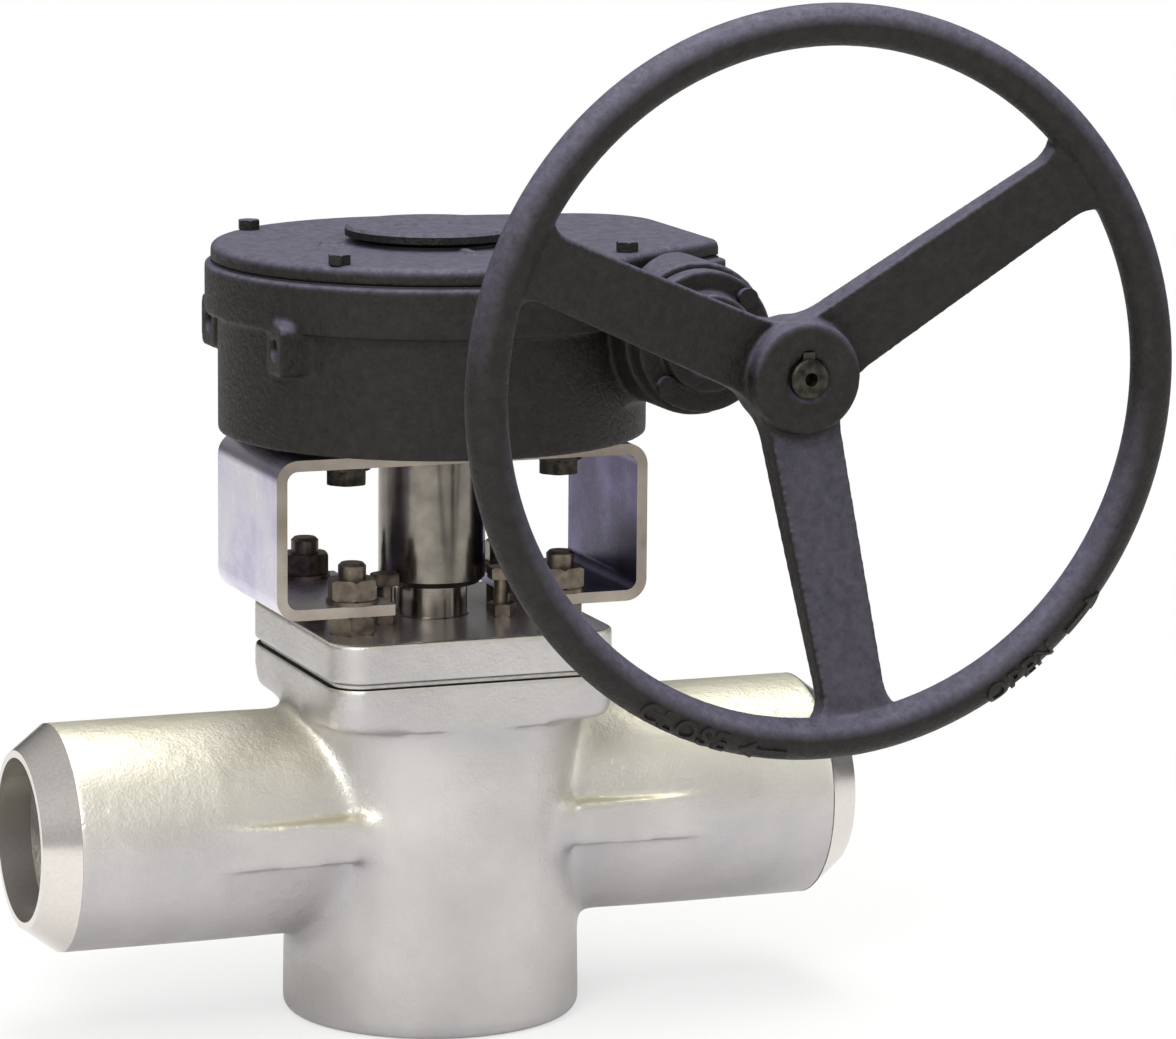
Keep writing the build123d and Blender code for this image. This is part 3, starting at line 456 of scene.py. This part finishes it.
# %% [markdown]
# ## Marks on the handwheel's rim
# The rim carries raised letters and arrows that say which way opens and which way closes.  The two words
# are generic ones.  Each mark is
# drawn flat and then wrapped: its length follows the rim's circle and its height goes round the rim's
# section, a little proud of the iron.

# %% Wrap raised marks round the rim
wheel_low, wheel_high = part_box("handwheel")
wheel_axis = Vector(((wheel_low.x + wheel_high.x) / 2, 0, (wheel_low.z + wheel_high.z) / 2))
wire_r = 10.0 * MM
ring_r = (wheel_high.x - wheel_low.x) / 2 - wire_r
ring_y = wheel_low.y + wire_r
mark_height = 1.1 * MM
mark_root = -0.5 * MM               # the marks' feet are sunk this far into the iron
lean = math.radians(35)             # how far the marks sit from the front towards the outside


def wrap_on_rim(obj, middle_angle):
    """Bends a flat mark onto the rim; x runs clockwise as seen from the front, y points to the outside."""
    for vertex in obj.data.vertices:
        x, y, z = vertex.co
        angle = middle_angle + x / ring_r
        around = lean - y / wire_r
        out = wire_r + (mark_height if z > 0 else mark_root)
        radius = ring_r + out * math.sin(around)
        vertex.co = (wheel_axis.x + radius * math.cos(angle), ring_y - out * math.cos(around),
                     wheel_axis.z + radius * math.sin(angle))
    obj.data.materials.append(paint_without_top_sheen)
    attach(obj, "worm_train")


def word(text, middle_angle):
    curve = bpy.data.curves.new("word_" + text.lower(), "FONT")
    curve.body = text
    curve.size = 14 * MM
    curve.align_x = "CENTER"
    curve.align_y = "CENTER"
    curve.space_character = 1.15
    curve.extrude = 0.5 * MM
    curve.offset = 0.35 * MM
    flat = bpy.data.objects.new(curve.name, curve)
    bpy.context.scene.collection.objects.link(flat)
    mesh = bpy.data.meshes.new_from_object(flat.evaluated_get(bpy.context.evaluated_depsgraph_get()))
    bpy.data.objects.remove(flat)
    mark = bpy.data.objects.new("word_" + text.lower(), mesh)
    bpy.context.scene.collection.objects.link(mark)
    wrap_on_rim(mark, middle_angle)

# %% Arrows
def arrow(name, middle_angle, direction):
    half, head, shaft, length = 5 * MM, 8 * MM, 1.8 * MM, 12 * MM
    outline = [(-length, -shaft), (length - head, -shaft), (length - head, -half), (length, 0),
               (length - head, half), (length - head, shaft), (-length, shaft)]
    shape = bmesh.new()
    points = [shape.verts.new((direction * x, y, 0)) for x, y in outline]
    face = shape.faces.new(points)
    sides = bmesh.ops.extrude_face_region(shape, geom=[face])
    for item in sides["geom"]:
        if isinstance(item, bmesh.types.BMVert):
            item.co.z = 1 * MM
    bmesh.ops.subdivide_edges(shape, edges=shape.edges[:], cuts=3)
    bmesh.ops.recalc_face_normals(shape, faces=shape.faces[:])
    mesh = bpy.data.meshes.new(name)
    shape.to_mesh(mesh)
    mark = bpy.data.objects.new(name, mesh)
    bpy.context.scene.collection.objects.link(mark)
    wrap_on_rim(mark, middle_angle)


word("CLOSE", math.radians(245))
arrow("arrow_close", math.radians(259), -1)
word("OPEN", math.radians(305))
arrow("arrow_open", math.radians(319), 1)
print("rim radius, mm:", round(ring_r / MM, 1))

# %% [markdown]
# ## Floor, lamps and camera
# The valve stands on a pale floor in soft studio light: a large lamp to the front left, a weaker one to
# the right and one above.  The room is white to the camera.  To the lit surfaces it is dark behind the
# valve and brighter in front and above, so metal shows lamps against darker walls and keeps its contrast.

# %% Floor
floor_mesh = bpy.data.meshes.new("floor")
span = 6.0
floor_corners = [(-span, -span, 0), (span, -span, 0), (span, span, 0), (-span, span, 0)]
floor_mesh.from_pydata(floor_corners, [], [(0, 1, 2, 3)])
floor = bpy.data.objects.new("floor", floor_mesh)
bpy.context.scene.collection.objects.link(floor)
floor_material = bpy.data.materials.new("pale_studio_floor")
floor_material.use_nodes = True
floor_tree = floor_material.node_tree
floor_tree.nodes.clear()
paper = add_node(floor_tree, "ShaderNodeBsdfDiffuse", {"Color": linear("#F4F3F1")})
glow = add_node(floor_tree, "ShaderNodeEmission", {"Color": (1, 1, 1, 1), "Strength": 1.0})
path = add_node(floor_tree, "ShaderNodeLightPath")
spot = add_node(floor_tree, "ShaderNodeTexCoord").outputs["Object"]
far = add_node(floor_tree, "ShaderNodeVectorMath", {"operation": "LENGTH"}, i0=spot).outputs["Value"]
white = add_node(floor_tree, "ShaderNodeMapRange",
                 {"From Min": 0.25, "From Max": 0.75, "To Min": 0.62, "To Max": 1.0}, Value=far)
seen = add_node(floor_tree, "ShaderNodeMath", {"operation": "MULTIPLY"},
                i0=path.outputs["Is Camera Ray"], i1=white)
mixed = add_node(floor_tree, "ShaderNodeMixShader", Fac=seen, i1=paper, i2=glow)
add_node(floor_tree, "ShaderNodeOutputMaterial", Surface=mixed)
floor_mesh.materials.append(floor_material)

# %% Room light
world = bpy.data.worlds.new("studio")
world.use_nodes = True
bpy.context.scene.world = world
sky = world.node_tree
sky.nodes.clear()
view = add_node(sky, "ShaderNodeLightPath")
direction = add_node(sky, "ShaderNodeTexCoord").outputs["Generated"]
axes = add_node(sky, "ShaderNodeSeparateXYZ", Vector=direction)
front = add_node(sky, "ShaderNodeMapRange",
                 {"From Min": 0.1, "From Max": -0.9, "To Min": 0.08, "To Max": 0.66}, Value=axes.outputs["Y"])
above = add_node(sky, "ShaderNodeMapRange",
                 {"From Min": 0.1, "From Max": 0.9, "To Min": 0.0, "To Max": 0.6}, Value=axes.outputs["Z"])
wall = add_node(sky, "ShaderNodeMath", {"operation": "ADD"}, i0=front, i1=above)
clear_rays = add_node(sky, "ShaderNodeMath", {"operation": "MAXIMUM"}, i0=view.outputs["Is Camera Ray"],
                      i1=view.outputs["Is Transmission Ray"])
strength = add_node(sky, "ShaderNodeMix", {"data_type": "FLOAT", 3: 1.0}, i0=clear_rays, i2=wall)
room = add_node(sky, "ShaderNodeBackground", {"Color": (1, 1, 1, 1)}, Strength=strength)
add_node(sky, "ShaderNodeOutputWorld", Surface=room)

# %% Lamps
def lamp(name, place, aim, size, watts):
    light = bpy.data.lights.new(name, "AREA")
    light.shape = "SQUARE"
    light.size = size
    light.energy = watts
    obj = bpy.data.objects.new(name, light)
    obj.location = place
    obj.rotation_euler = (Vector(aim) - Vector(place)).to_track_quat("-Z", "Y").to_euler()
    bpy.context.scene.collection.objects.link(obj)


middle = (0, 0, 0.25)
lamp("key", (-1.3, -1.7, 1.6), middle, 1.1, 31)
lamp("fill", (1.9, -1.1, 0.7), middle, 0.9, 4)
lamp("top", (0.2, 0.3, 2.2), middle, 1.4, 26)

# %% Camera
azimuth, yaw, pitch, roll = 0.3356, 0.3635, 0.1727, 0.008      # radians
distance, height, focal = 2.826, 0.745, 174.0                  # metres and millimetres
camera_data = bpy.data.cameras.new("camera")
camera_data.lens = focal
camera_data.sensor_width = 36.0
camera = bpy.data.objects.new("camera", camera_data)
turn = Matrix.Rotation(-yaw, 4, "Z") @ Matrix.Rotation(math.pi / 2 - pitch, 4, "X")
turn = turn @ Matrix.Rotation(roll, 4, "Z")
stand = Matrix.Translation((-distance * math.sin(azimuth), -distance * math.cos(azimuth), height))
camera.matrix_world = stand @ turn
bpy.context.scene.collection.objects.link(camera)
bpy.context.scene.camera = camera
bpy.context.scene.view_settings.view_transform = "Standard"
